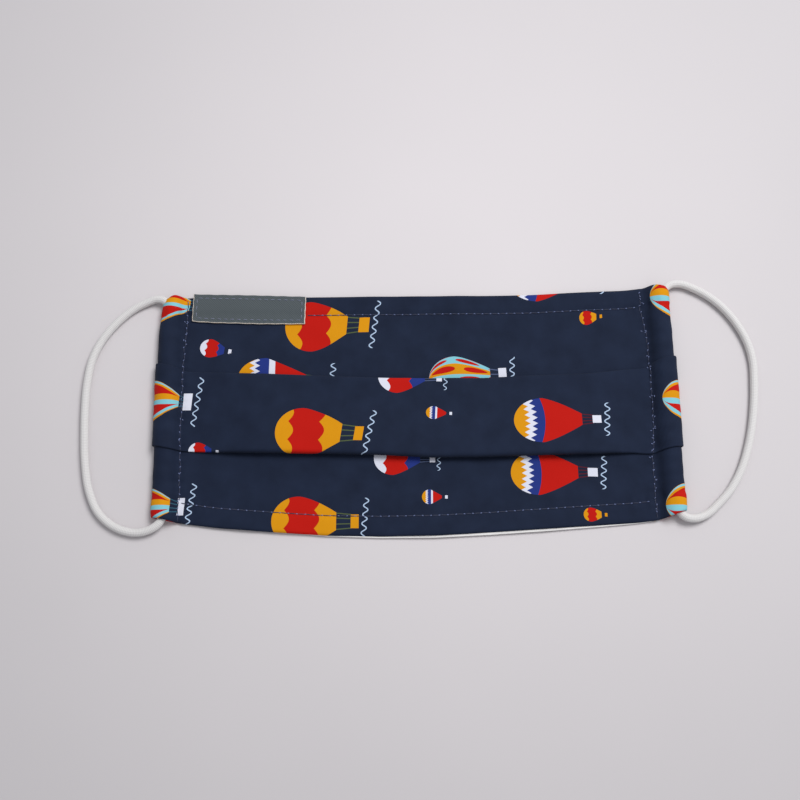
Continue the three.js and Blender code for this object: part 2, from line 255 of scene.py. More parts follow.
def seam_at(sign, y):
    """Distance from the middle of a casing's seam: the seams wander in towards their ends."""
    if sign < 0:
        return casing_seam - 1.0 * ease(y, 20, 42)
    return casing_seam - (1.7 * ease(y, 26, 40) + 1.2 * ease(-y, 2, 22))


def half_turn(count, y, start, end, way):
    """A layer's turn from one height to another, bulging along y."""
    angle = np.linspace(0, math.pi, count)
    radius = abs(end - start) / 2
    return y + way * radius * np.sin(angle), (start + end) / 2 - (end - start) / 2 * np.cos(angle)


def pleat_section(lines, upper, lower, inset, tuck):
    """Down one column of cloth: y, height over the lowest layer, panel (0 hidden, 1 upper, 2 band, 3 lower)."""
    top, upper_fold, lower_fold, bottom = lines
    half = cloth_thickness / 2
    parts = []

    def add(y, z, panel):
        parts.append(np.column_stack([y, z, np.full(len(y), panel)]))

    def straight(count, start, end, z_start, z_end, panel):
        t = np.linspace(0, 1, count + 2)[1:-1]
        add(start + (end - start) * t, z_start + (z_end - z_start) * t * t * (3 - 2 * t), panel)

    upper_low, upper_mid, upper_top = upper
    lower_low, lower_mid, lower_top = lower
    edge = np.linspace(0, math.pi / 2, 4)
    add(top - 0.45 + 0.45 * np.sin(edge), upper_low - 0.4 * np.cos(edge), 1)
    straight(46, top, upper_fold - tuck, upper_low, upper_low, 1)
    reach = half + (upper_mid - upper_low) / 2
    add(*half_turn(5, upper_fold - tuck + reach, upper_low, upper_mid, -1), 0)
    straight(7, upper_fold - tuck + reach, upper_fold - inset - 1.5, upper_mid, upper_mid, 0)
    reach = inset + half + (upper_top - upper_mid) / 2
    add(*half_turn(8, upper_fold - reach, upper_mid, upper_top, 1), 2)
    reach_low = inset + half + (lower_top - lower_mid) / 2
    straight(32, upper_fold - reach, lower_fold + reach_low, upper_top, lower_top, 2)
    add(*half_turn(11, lower_fold + reach_low, lower_top, lower_mid, -1), 2)
    rise = min(0.5, lower_mid - lower_low)
    straight(7, lower_fold + reach_low, lower_fold + tuck - 1.5, lower_mid, lower_low + rise, 0)
    add(*half_turn(5, lower_fold + tuck - half - 0.25, lower_low + rise, lower_low, 1), 0)
    straight(42, lower_fold + tuck - 1, bottom, lower_low, lower_low, 3)
    add(bottom + 0.45 - 0.45 * np.cos(edge), lower_low - 0.4 * np.sin(edge), 3)
    return np.vstack(parts)


# Each column of cloth: its side, distance out, height, direction out of the cloth, place on the flat print, and
# how far it is past the side edge.
outline = smooth_line(side_section, 900)
step = np.linalg.norm(np.diff(outline, axis=0), axis=1)
arc = np.concatenate([[0.0], np.cumsum(step)])
direction = np.gradient(outline, axis=0)
direction /= np.linalg.norm(direction, axis=1)[:, None]
edge_arc = arc[np.argmax(outline[:, 0])]
# Columns stand 1.3 mm apart in the middle and 0.55 mm apart over the casings.
marks = np.concatenate([np.arange(0.6, 78, 1.3), np.arange(78.4, arc[-1], 0.55), [arc[-1]]])
half_columns = []
for mark in marks:
    distance_out, height = (np.interp(mark, arc, outline[:, i]) for i in (0, 1))
    along_x, along_z = (np.interp(mark, arc, direction[:, i]) for i in (0, 1))
    printed = distance_out if mark < edge_arc else side_edge + mark - edge_arc
    half_columns.append((distance_out, height, -along_z, along_x, printed, mark - edge_arc))
columns = [(-1, *column) for column in reversed(half_columns)] + [(1, *column) for column in half_columns]

cloth_rows = []
flat_rows = []
for sign, distance_out, height, out_x, out_z, printed, past_edge in columns:
    x = sign * distance_out
    loft = 1 - ease(distance_out, 60, 88)
    back = ease(past_edge, -1.0, 3.0)
    squeeze = 1 - 0.5 * back - 0.3 * ease(past_edge, 6.0, 11.0)
    upper = np.array([0.0, 0.42 + 0.13 * loft, 0.84 + 1.5 * loft]) * squeeze
    lower = np.array([0.0, 0.42 + 0.6 * loft, 0.84 + 3.0 * loft]) * squeeze
    section = pleat_section(lines_at(x), upper, lower, 0.0, pleat_depth)
    y, h, panel = section.T
    top, upper_fold, lower_fold, bottom = lines_at(x)
    # The casing is open at its upper end: its side and back stop short of the front, for the cord.
    y = y - np.where(panel == 1, 5.0 * back * ease(y, top - 16, top), 0.0)
    # Turned and stitched edges are a little thicker, and dip at the stitches.
    from_edge = np.where(panel == 1, top - y, np.where(panel == 3, y - bottom, 99.0))
    front = 1 - back
    turned_in = (1 - ease(from_edge, stitch_inset - 2.0, stitch_inset + 0.5)) * ease(from_edge, -0.5, 1.5)
    h = h + front * 0.3 * turned_in
    dip = np.exp(-(((from_edge - stitch_inset) / 0.9) ** 2))
    h = h - front * dip * (0.16 + 0.07 * math.cos(2 * math.pi * x / stitch_pitch))
    near = np.exp(-(((from_edge - stitch_inset) / 3.2) ** 2))
    h = h + front * near * 0.10 * math.cos(2 * math.pi * x / stitch_pitch + math.pi)
    # Puckers along the casing's seam, and low waves over the casing.
    at_seam = np.exp(-(((distance_out - seam_at(sign, y)) / 1.7) ** 2)) * front
    over = math.exp(-(((distance_out - 93.0) / 4.5) ** 2)) * front
    h = h + at_seam * (0.22 * np.sin(2 * math.pi * y / 3.1 + 1.4 * np.sin(y / 7.0)) - 0.15)
    h = h + over * 0.17 * (1 + ripples(x * 0.35, y, 11, 4.0, 9.0))
    # Soft waves of the whole mask, and smaller ones of each visible panel.
    visible = np.where(panel > 0, 1.0, 0.3)
    h = h + loft * (0.22 + 0.16 * ripples(np.full_like(y, x), y, 3, 26, 60))
    small_waves = 0.05 + 0.06 * ripples(np.full_like(y, x), y + 31 * panel, 5, 9, 22)
    h = h + front * visible * small_waves * (0.3 + loft)
    # The side edges lean in at the top, and the left casing lies a little further out.
    lean = (0.3 if sign > 0 else 1.5) * ease(y, 30, 46) * ease(distance_out, 90, 97)
    spread = ease(distance_out, 74, 90) if sign < 0 else 0.0
    z = np.maximum(height + out_z * h, cloth_thickness / 2 + 0.02)
    cloth_rows.append(np.column_stack([sign * (distance_out + out_x * h - lean + spread), y, z]))
    travelled = np.concatenate([[0.0], np.cumsum(np.hypot(np.diff(section[:, 0]), np.diff(section[:, 1])))])
    middle = np.flatnonzero(panel == 2)
    centre_row = middle[np.argmin(np.abs(section[middle, 0] - (upper_fold + lower_fold) / 2))]
    flat = section[centre_row, 0] + travelled[centre_row] - travelled
    flat_rows.append(np.column_stack([np.full(len(y), sign * printed), flat]))

cloth = np.array(cloth_rows)
flat = np.array(flat_rows)


def shell(name, surface, thickness):
    """A sheet with that thickness about a grid of points: outside, inside and edges, with room for baking."""
    across_count, down_count = surface.shape[:2]
    du = np.gradient(surface, axis=0)
    dv = np.gradient(surface, axis=1)
    normal = np.cross(dv, du)
    normal /= np.maximum(np.linalg.norm(normal, axis=2), 1e-9)[:, :, None]
    outside = (surface + normal * thickness / 2).reshape(-1, 3)
    inside = (surface - normal * thickness / 2).reshape(-1, 3)
    count = across_count * down_count
    faces = []
    for i in range(across_count - 1):
        for j in range(down_count - 1):
            a = i * down_count + j
            faces.append((a, a + 1, a + down_count + 1, a + down_count))
    grid = len(faces)
    faces += [tuple(count + v for v in reversed(face)) for face in faces]
    # Round the rim: along the first row, down the last column, back along the last row and up the first column.
    last_column = (across_count - 1) * down_count
    last_row = down_count - 1
    rim = [(i * down_count, (i + 1) * down_count) for i in range(across_count - 1)]
    rim += [(last_column + j, last_column + j + 1) for j in range(last_row)]
    rim += [(i * down_count + last_row, (i - 1) * down_count + last_row) for i in range(across_count - 1, 0, -1)]
    rim += [(j, j - 1) for j in range(last_row, 0, -1)]
    faces += [(a, b, count + b, count + a) for a, b in rim]
    piece = new_object(name, np.vstack([outside, inside]), faces)
    mesh = piece.data
    corner = np.array([loop.vertex_index for loop in mesh.loops])
    column, row = np.divmod(corner % count, down_count)
    loop_face = np.repeat(np.arange(len(faces)), 4)
    across = 0.01 + 0.98 * column / (across_count - 1)
    down = 0.02 + 0.46 * row / (down_count - 1)
    bake = np.column_stack([across, np.where(loop_face < grid, down + 0.5, down)])
    rim_place = loop_face - 2 * grid
    slot_of = np.array([0, 1, 1, 0])[np.arange(len(corner)) % 4]
    lift = np.array([0, 0, 1, 1])[np.arange(len(corner)) % 4]
    along_rim = 0.01 + 0.98 * (rim_place + slot_of) / len(rim)
    on_rim = loop_face >= 2 * grid
    bake[on_rim] = np.column_stack([along_rim, 0.004 + 0.008 * lift])[on_rim]
    mesh.uv_layers.new(name="OFBake").data.foreach_set("uv", bake.ravel())
    return piece, corner % count, loop_face, grid


outer, corner, loop_face, grid = shell("printed_cloth", cloth, cloth_thickness)
mesh = outer.data
corner_flat = flat.reshape(-1, 2)[corner]
mesh.uv_layers.new(name="Flat").data.foreach_set("uv", corner_flat.ravel())

# The print's chart: panel, kind, crown's x and y, envelope's length and width, tilt in degrees, then in shares of
# the envelope: the mouth's width, the basket's start, end and width, and how far the mouth and basket slant.
chart = [
    (1, "gores", -111.0, 43.3, 24.0, 16.5, -1.0, 0.26, 1.70, 1.80, 0.42, 0.04),
    (1, "waves", -82.8, 26.2, 8.9, 7.4, -9.3, 0.34, 1.17, 1.30, 0.25, 0.0),
    (1, "stripes", -68.6, 13.6, 26.1, 17.0, -0.9, 0.22, 1.15, 1.29, 0.17, 0.0),
    (1, "scallops", -50.7, 34.1, 23.9, 20.0, 1.2, 0.36, 1.19, 1.36, 0.30, 0.05),
    (1, "zigzag", 36.0, 52.3, 26.5, 18.3, 0.1, 0.25, 1.15, 1.29, 0.17, 0.0),
    (1, "scallops", 63.1, 36.0, 6.6, 5.7, 3.3, 0.40, 1.20, 1.34, 0.25, 0.04),
    (1, "spots", 4.4, 12.0, 23.5, 17.8, 2.2, 0.38, 1.13, 1.26, 0.38, 0.0),
    (1, "gores", 90.9, 42.8, 23.3, 16.5, -1.0, 0.30, 1.08, 1.23, 0.42, 0.04),
    (2, "gores", -112.3, 5.2, 22.0, 19.4, -0.9, 0.24, 1.10, 1.24, 0.34, 0.03),
    (2, "waves", -85.7, -14.3, 8.2, 6.9, -4.0, 0.34, 1.20, 1.32, 0.20, 0.0),
    (2, "scallops", -53.7, -8.1, 24.7, 19.2, -2.0, 0.36, 1.20, 1.33, 0.28, 0.05),
    (2, "waves", -15.0, 13.8, 17.8, 13.4, -3.0, 0.26, 1.25, 1.36, 0.25, 0.0),
    (2, "stripes", 2.9, -1.2, 7.7, 5.3, -4.0, 0.16, 1.13, 1.27, 0.22, 0.0),
    (2, "zigzag", 35.8, -5.2, 25.6, 17.3, 0.6, 0.25, 1.15, 1.28, 0.17, 0.0),
    (2, "gores", 92.4, 2.6, 22.5, 16.8, -0.9, 0.30, 1.08, 1.23, 0.42, 0.04),
    (3, "gores", -114.7, -33.2, 23.2, 17.2, -0.9, 0.30, 1.11, 1.215, 0.38, 0.02),
    (3, "scallops", -55.0, -41.1, 23.9, 18.5, -0.9, 0.36, 1.23, 1.35, 0.28, 0.0),
    (3, "waves", -16.9, -18.0, 17.2, 12.6, -0.9, 0.26, 1.22, 1.33, 0.25, 0.0),
    (3, "stripes", 0.8, -32.9, 7.4, 5.6, -0.9, 0.16, 1.15, 1.28, 0.22, 0.0),
    (3, "zigzag", 34.1, -24.4, 25.1, 16.8, -0.1, 0.27, 1.14, 1.29, 0.19, 0.0),
    (3, "scallops", 60.3, -40.5, 6.6, 5.2, 1.1, 0.40, 1.18, 1.32, 0.25, 0.0),
    (3, "gores", 90.9, -36.3, 22.1, 17.2, -0.9, 0.30, 1.08, 1.23, 0.42, 0.04),
]
kinds = ["none", "gores", "scallops", "waves", "zigzag", "stripes", "spots"]
# How an envelope narrows to its mouth (1 is a straight cone), and how far the wavy line reaches to each side.
taper_of = {"gores": 1.6, "scallops": 1.5, "waves": 1.35, "zigzag": 1.3, "stripes": 1.05, "spots": 1.5}
reach_of = {"gores": 1.0, "scallops": 0.95, "waves": 0.75, "zigzag": 0.75, "stripes": 0.75, "spots": 0.85}
# Only balloons longer than this have ropes and a wavy line.
large_length = 12.0
# How far each panel's print runs ahead of its place on the lying mask, since the pleats take cloth up.
row_panel = panel
middle_column = len(cloth) // 2
panel_shift = {}
for shown in (1, 2, 3):
    rows = np.flatnonzero(row_panel == shown)
    row = rows[len(rows) // 2]
    panel_shift[shown] = flat[middle_column, row, 1] - cloth[middle_column, row, 1]
face_flat = corner_flat.reshape(-1, 4, 2).mean(axis=1)
motif = np.zeros((len(corner), 2))
face_kind = np.zeros(len(face_flat))
face_large = np.zeros(len(face_flat))
face_mouth = np.full(len(face_flat), 0.3)
face_basket = np.full(len(face_flat), 0.3)
face_taper = np.full(len(face_flat), 1.5)
face_reach = np.full(len(face_flat), 0.85)
for shown, kind, x, y, length, width, lean, mouth, basket_start, basket_end, basket_width, slant in chart:
    turn = math.radians(lean)
    axis = np.array([math.cos(turn), math.sin(turn)])
    side_axis = np.array([-math.sin(turn), math.cos(turn)])
    start = np.array([x, y + panel_shift[shown]])
    offset = face_flat - start
    along = offset @ axis / length
    off = offset @ side_axis / (width / 2)
    # The balloon, its basket and its wavy line all lie in this box.
    inside = (along > -0.15) & (along < 1.62) & (np.abs(off) < 1.2)
    face_kind[inside] = kinds.index(kind)
    face_large[inside] = length > large_length
    face_mouth[inside] = mouth
    face_basket[inside] = basket_width
    face_taper[inside] = taper_of[kind]
    face_reach[inside] = reach_of[kind]
    chosen = inside[loop_face]
    offset = corner_flat[chosen] - start
    off = offset @ side_axis / (width / 2)
    along = offset @ axis / length
    along = along - slant * off * ease(along, 0.55, 1.0)
    # Every basket is drawn from 1.2 to 1.35 along, so its own place is stretched to those.
    along = np.interp(along, [-1, 1, basket_start, basket_end, basket_end + 1], [-1, 1, 1.2, 1.35, 2.35])
    motif[chosen, 0] = along
    motif[chosen, 1] = off
mesh.uv_layers.new(name="Motif").data.foreach_set("uv", motif.ravel())
wrong_side = (np.arange(len(face_flat)) >= grid) & (np.arange(len(face_flat)) < 2 * grid)
for name, values in (
    ("kind", face_kind), ("large", face_large), ("mouth", face_mouth), ("basket", face_basket),
    ("taper", face_taper), ("reach", face_reach), ("wrong_side", wrong_side.astype(float)),
):
    mesh.attributes.new(name, "FLOAT", "FACE").data.foreach_set("value", values.astype(np.float32))

red = linear(187, 21, 10)
ochre = linear(213, 147, 12)
cyan = linear(132, 196, 208)
blue = linear(36, 54, 128)
white = linear(216, 218, 230)
rope_olive = linear(84, 96, 62)
rope_red = linear(88, 26, 40)
rope_teal = linear(52, 92, 112)
rope_grey = linear(84, 96, 128)
squiggle = linear(178, 198, 222)

poplin, tree, shader = new_material("printed_poplin")
nodes, links = tree.nodes, tree.links


def calc(operation, a, b=0.0, c=0.0):
    """The result of one Math node."""
    node = nodes.new("ShaderNodeMath")
    node.operation = operation
    for socket, value in zip(node.inputs, (a, b, c)):
        if isinstance(value, bpy.types.NodeSocket):
            links.new(value, socket)
        else:
            socket.default_value = value
    return node.outputs[0]


def blend_colour(factor, under, over):
    """Colour under where factor is 0, and over where it is 1."""
    node = nodes.new("ShaderNodeMix")
    node.data_type = "RGBA"
    links.new(factor, node.inputs["Factor"])
    for socket, value in ((node.inputs[6], under), (node.inputs[7], over)):
        if isinstance(value, bpy.types.NodeSocket):
            links.new(value, socket)
        else:
            socket.default_value = value
    return node.outputs[2]


def bands(value, stops):
    """Hard-edged bands of colour along value."""
    node = nodes.new("ShaderNodeValToRGB")
    node.color_ramp.interpolation = "CONSTANT"
    elements = node.color_ramp.elements
    while len(elements) < len(stops):
        elements.new(0.5)
    for element, (place, colour) in zip(elements, stops):
        element.position = place
        element.color = colour
    links.new(value, node.inputs["Fac"])
    return node.outputs["Color"]


uv = nodes.new("ShaderNodeUVMap")
uv.uv_map = "Motif"
split = nodes.new("ShaderNodeSeparateXYZ")
links.new(uv.outputs["UV"], split.inputs["Vector"])
along, off = split.outputs["X"], split.outputs["Y"]
attribute = {}
for name in ("kind", "large", "mouth", "basket", "taper", "reach", "wrong_side"):
    node = nodes.new("ShaderNodeAttribute")
    node.attribute_name = name
    attribute[name] = node.outputs["Fac"]

# Envelope: a half ellipse at the crown, narrowing to the mouth.
widest = 0.42
crown_part = calc("MAXIMUM", calc("DIVIDE", calc("SUBTRACT", widest, along), widest), 0.0)
mouth_part = calc("MAXIMUM", calc("DIVIDE", calc("SUBTRACT", along, widest), 1.0 - widest), 0.0)
crown_square = calc("MULTIPLY", crown_part, crown_part)
round_part = calc("SQRT", calc("MAXIMUM", calc("SUBTRACT", 1.0, crown_square), 0.0))
mouth_closing = calc("SUBTRACT", 1.0, attribute["mouth"])
narrowing = calc("MULTIPLY", calc("POWER", mouth_part, attribute["taper"]), mouth_closing)
half_width = calc("SUBTRACT", round_part, narrowing)
share = calc("DIVIDE", off, calc("MAXIMUM", half_width, 0.01))
in_length = calc("LESS_THAN", calc("ABSOLUTE", calc("SUBTRACT", along, 0.5)), 0.5)
is_envelope = calc("MULTIPLY", calc("LESS_THAN", calc("ABSOLUTE", share), 1.0), in_length)
# Gores: lengthwise strips, narrower towards both sides of the balloon.
round_share = calc("ARCSINE", calc("MINIMUM", calc("MAXIMUM", share, -1.0), 1.0))
gore = calc("MULTIPLY_ADD", round_share, 1 / math.pi, 0.5)
gore_base = bands(gore, [
    (0.0, ochre), (0.15, cyan), (0.50, ochre), (0.84, cyan), (0.93, ochre), (0.97, red),
])
# Two red leaves on the gores, pointed at the crown and the mouth.
leaf_turn = calc("MULTIPLY", calc("MINIMUM", calc("MAXIMUM", along, 0.0), 1.0), math.pi)
leaf_width = calc("MULTIPLY", calc("SINE", leaf_turn), 0.12)
from_leaf = [calc("ABSOLUTE", calc("SUBTRACT", gore, centre)) for centre in (0.33, 0.70)]
is_leaf = calc("LESS_THAN", calc("MINIMUM", *from_leaf), leaf_width)
gore_colour = blend_colour(is_leaf, gore_base, red)
# Or wider strips, with leaf-shaped spots in a row on each.
spot_base = bands(gore, [
    (0.0, ochre), (0.04, cyan), (0.215, ochre), (0.39, cyan), (0.565, ochre), (0.74, cyan),
])
strip_start = 0.04
strip_width = 0.175
strip = calc("DIVIDE", calc("SUBTRACT", gore, strip_start), strip_width)
spot_across = calc("SUBTRACT", calc("FRACT", strip), 0.5)
spot_shift = calc("MULTIPLY_ADD", calc("MODULO", calc("FLOOR", strip), 2.0), -0.24, 0.284)
spot_along = calc("SUBTRACT", calc("FRACT", calc("MULTIPLY_ADD", along, 1.9, spot_shift)), 0.5)
spot_square = calc("MULTIPLY", calc("MULTIPLY", spot_along, spot_along), 7.5)
spot = calc("MULTIPLY_ADD", calc("MULTIPLY", spot_across, spot_across), 11.0, spot_square)
spot_colour = blend_colour(calc("LESS_THAN", spot, 1.0), spot_base, red)
# Scallops: bands whose edges bulge towards the mouth between cusps.
scallop = calc("ABSOLUTE", calc("COSINE", calc("MULTIPLY_ADD", off, math.pi / 0.74, -0.34)))
scallop_place = calc("SUBTRACT", along, calc("MULTIPLY", scallop, 0.08))
scallop_colour = bands(scallop_place, [(0.0, ochre), (0.19, red), (0.66, ochre)])
wave_colour = bands(scallop_place, [(0.0, white), (0.19, red), (0.66, blue)])
# Zigzags near the crown, then plain bands and a long cone.
zigzag = calc("SUBTRACT", calc("PINGPONG", calc("ADD", off, 3.0), 0.13), 0.065)
zigzag_on = calc("LESS_THAN", along, 0.355)
zigzag_place = calc("ADD", along, calc("MULTIPLY", calc("MULTIPLY", zigzag, 0.6), zigzag_on))
bowed_place = calc("MULTIPLY_ADD", calc("MULTIPLY", off, off), 0.065, zigzag_place)
zigzag_colour = bands(bowed_place, [(0.0, ochre), (0.20, white), (0.305, blue), (0.455, red)])
stripe_colour = bands(zigzag_place, [(0.0, ochre), (0.20, white), (0.28, blue), (0.45, white), (0.54, red)])

envelope = gore_colour
for kind, colour in (
    ("scallops", scallop_colour), ("waves", wave_colour), ("zigzag", zigzag_colour),
    ("stripes", stripe_colour), ("spots", spot_colour),
):
    envelope = blend_colour(calc("COMPARE", attribute["kind"], kinds.index(kind), 0.4), envelope, colour)

# Four ropes from the mouth to the basket, the basket, and a plain wavy line beside it.
rope_width = calc("MULTIPLY_ADD", calc("SUBTRACT", along, 1.0), -0.3, attribute["mouth"])
rope_share = calc("ABSOLUTE", calc("DIVIDE", off, rope_width))
from_rope = [calc("ABSOLUTE", calc("SUBTRACT", rope_share, place)) for place in (0.92, 0.33)]
on_rope = calc("LESS_THAN", calc("MULTIPLY", calc("MINIMUM", *from_rope), rope_width), 0.022)
before_basket = calc("LESS_THAN", calc("ABSOLUTE", calc("SUBTRACT", along, 1.1)), 0.11)
is_rope = calc("MULTIPLY", calc("MULTIPLY", on_rope, before_basket), attribute["large"])
rope = rope_olive
for kind, colour in (("gores", rope_teal), ("waves", rope_grey), ("spots", rope_grey), ("zigzag", rope_red)):
    same_kind = calc("COMPARE", attribute["kind"], kinds.index(kind), 0.4)
    rope = blend_colour(same_kind, rope, colour)
in_basket_rows = calc("LESS_THAN", calc("ABSOLUTE", calc("SUBTRACT", along, 1.275)), 0.075)
in_basket_width = calc("LESS_THAN", calc("ABSOLUTE", off), attribute["basket"])
is_basket = calc("MULTIPLY", in_basket_rows, in_basket_width)
wave_turn = calc("MULTIPLY", off, 17.0)
wavy_place = calc("MULTIPLY_ADD", calc("SINE", wave_turn), 0.036, calc("MULTIPLY_ADD", off, 0.03, 1.44))
# The line is measured along the balloon, so it is made wider where it runs steeply.
steep = calc("COSINE", wave_turn)
steep_square = calc("MULTIPLY", steep, steep)
wavy_width = calc("MULTIPLY", calc("SQRT", calc("MULTIPLY_ADD", steep_square, 3.0, 1.0)), 0.0085)
on_wavy = calc("LESS_THAN", calc("ABSOLUTE", calc("SUBTRACT", along, wavy_place)), wavy_width)
in_reach = calc("LESS_THAN", calc("ABSOLUTE", off), attribute["reach"])
is_wavy = calc("MULTIPLY", calc("MULTIPLY", on_wavy, in_reach), attribute["large"])
ochre_basket = calc("COMPARE", attribute["kind"], kinds.index("scallops"), 0.4)
basket = blend_colour(ochre_basket, white, ochre)

printed_here = calc("GREATER_THAN", attribute["kind"], 0.5)
ground_noise = nodes.new("ShaderNodeTexNoise")
flat_uv = nodes.new("ShaderNodeUVMap")
flat_uv.uv_map = "Flat"
links.new(flat_uv.outputs["UV"], ground_noise.inputs["Vector"])
ground_noise.inputs["Scale"].default_value = 0.12
ground_noise.inputs["Detail"].default_value = 4.0
colour = tint_by(tree, ground_noise.outputs["Fac"], (0.3, linear(24, 33, 53)), (0.7, linear(30, 40, 62)))
for mask, over in ((is_rope, rope), (is_wavy, squiggle), (is_basket, basket), (is_envelope, envelope)):
    colour = blend_colour(calc("MULTIPLY", mask, printed_here), colour, over)
colour = blend_colour(attribute["wrong_side"], colour, linear(86, 96, 118))


def woven(vector, scale, distortion):
    """Two crossing sets of threads, along and across, on coordinates in mm."""
    threads = []
    for way in ("X", "Y"):
        node = nodes.new("ShaderNodeTexWave")
        node.bands_direction = way
        node.inputs["Scale"].default_value = scale
        node.inputs["Distortion"].default_value = distortion
        node.inputs["Detail"].default_value = 1.0
        links.new(vector, node.inputs["Vector"])
        threads.append(node.outputs["Fac"])
    return threads


# Threads of the weave, a third of a millimetre apart, lighten and darken the print a little.
warp, weft = woven(flat_uv.outputs["UV"], 0.95, 0.6)
weave_height = calc("MULTIPLY_ADD", calc("MULTIPLY", warp, weft), 0.7, calc("MULTIPLY", warp, 0.3))
shade = nodes.new("ShaderNodeMix")
shade.data_type = "RGBA"
shade.blend_type = "SOFT_LIGHT"
shade.inputs["Factor"].default_value = 0.35
links.new(colour, shade.inputs[6])
links.new(weave_height, shade.inputs[7])
links.new(shade.outputs[2], shader.inputs["Base Color"])
shader.inputs["Roughness"].default_value = 0.8
shader.inputs["Specular IOR Level"].default_value = 0.12
shader.inputs["Sheen Weight"].default_value = 0.03
shader.inputs["Sheen Roughness"].default_value = 0.5
emboss(tree, shader, weave_height, 0.35, 0.00008)
mesh.materials.append(poplin)
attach(outer, "root")
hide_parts("outer_cloth")

# Lining: plain white cotton in the same pleats behind the outer cloth. It shows as a thin line below the bottom
# edge, and its ends stop at the side hems.
# The drop is how far it reaches below that edge: x and drop in mm.
lining_drop = np.array([
    (-100, -1.0), (-87, -1.0), (-75, -0.8), (-55, -0.3), (-35, 0.3), (-15, 0.7), (5, 0.9),
    (25, 1.0), (45, 1.0), (65, 0.7), (80, 0.3), (87, 0.0), (100, 0.0),
])
lining_thickness = 0.3
lining_end = 86.0
lining_columns = []
for x in np.linspace(-lining_end, lining_end, 132):
    distance_out = abs(x)
    loft = 1 - ease(distance_out, 60, 88)
    top, upper_fold, lower_fold, bottom = lines_at(x)
    bottom -= np.interp(x, lining_drop[:, 0], lining_drop[:, 1])
    upper = np.array([0.0, 0.55 + 0.6 * loft, 0.65 + 1.3 * loft])
    lower = np.array([0.0, 0.55 + 1.3 * loft, 0.65 + 2.55 * loft])
    section = pleat_section((top - 0.6, upper_fold, lower_fold, bottom), upper, lower, 0.8, pleat_depth + 0.7)
    y, h, panel = section.T
    h = np.maximum(h, 0.0)
    h = h + loft * (0.22 + 0.16 * ripples(np.full_like(y, x), y, 3, 26, 60)) * np.where(h > 0.3, 1.0, 0.5)
    base = 0.28 + 0.35 * float(ease(distance_out, 82, lining_end))
    # Where it shows below the outer cloth it stands level with that cloth's edge.
    h = h + 0.5 * ease(lines_at(x)[3] + 0.35 - y, 0.0, 0.5) * (panel == 3)
    z = np.maximum(base + h, lining_thickness / 2 + 0.02)
    lining_columns.append(np.column_stack([np.full(len(y), x), y, z]))
lining = shell("plain_lining", np.array(lining_columns), lining_thickness)[0]

cotton, tree, shader = new_material("white_cotton")
nodes, links = tree.nodes, tree.links
coordinates = nodes.new("ShaderNodeTexCoord")
in_mm = nodes.new("ShaderNodeMapping")
in_mm.inputs["Scale"].default_value = (1000.0, 1000.0, 0.0)
links.new(coordinates.outputs["Object"], in_mm.inputs["Vector"])
weave_height = calc("MULTIPLY", *woven(in_mm.outputs["Vector"], 0.8, 0.8))
tint = tint_by(tree, weave_height, (0.0, linear(222, 220, 218)), (1.0, linear(242, 240, 238)))
links.new(tint, shader.inputs["Base Color"])
shader.inputs["Roughness"].default_value = 0.9
shader.inputs["Sheen Weight"].default_value = 0.2
emboss(tree, shader, weave_height, 0.4, 0.0001)
lining.data.materials.append(cotton)
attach(lining, "root")
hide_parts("lining")

# Label: a small grey woven patch sewn flat on the upper panel beside the left casing, left bare. Three of its
# edges are raw and show the cream core of the weave.
label_place = (-64.7, 41.7)
label_size = (43.7, 11.0)
label_bow = 0.5
label_tilt = math.radians(-2.3)
label_thickness = 0.5
label_inset = 1.5
label_across = 110
label_down = 34
smoothing_rounds = 14
bpy.context.view_layer.update()


def surface_height(piece, x, y):
    """Height in mm of the piece's top surface at x, y."""
    hit, point = piece.ray_cast(Vector((x / 1000, y / 1000, 0.05)), Vector((0, 0, -1)))[:2]
    return point.z * 1000 if hit else 0.0


label_columns = []
for a in np.linspace(-0.5, 0.5, label_across):
    column = []
    for b in np.linspace(0.5, -0.5, label_down):
        lx = a * label_size[0] + 0.06 * math.sin(b * 23)
        ly = b * label_size[1] - label_bow * (1 - 4 * a * a) * (0.5 - b) + 0.05 * math.sin(a * 47)
        x = label_place[0] + lx * math.cos(label_tilt) - ly * math.sin(label_tilt)
        y = label_place[1] + lx * math.sin(label_tilt) + ly * math.cos(label_tilt)
        inset = min((0.5 - abs(a)) * label_size[0], (0.5 - abs(b)) * label_size[1])
        stitched = -0.10 * math.exp(-(((inset - label_inset) / 0.5) ** 2))
        raised = 0.25 + stitched + 0.10 * math.exp(-((inset / 1.2) ** 2))
        under = surface_height(outer, x, min(y, lines_at(x)[0] - 0.8))
        column.append((x, y, under + label_thickness / 2 + raised))
    label_columns.append(column)
# The label bridges the small dips of the cloth under it.
grid_points = np.array(label_columns)
height = grid_points[:, :, 2]
for _ in range(smoothing_rounds):
    padded = np.pad(height, 1, mode="edge")
    height = (padded[:-2, 1:-1] + padded[2:, 1:-1] + padded[1:-1, :-2] + padded[1:-1, 2:] + 2 * height) / 6
grid_points[:, :, 2] = np.maximum(height, grid_points[:, :, 2] - 0.1)
label = shell("sewn_label", grid_points, label_thickness)[0]
# The raw edge: 1 on the left, bottom and right edges, falling to 0 a grid step in.
place = np.arange(len(label.data.vertices)) % (label_across * label_down)
column_place, row_place = np.divmod(place, label_down)
raw_edge = np.isin(column_place, (0, label_across - 1)) | (row_place == label_down - 1)
label.data.attributes.new("raw_edge", "FLOAT", "POINT").data.foreach_set("value", raw_edge.astype(np.float32))

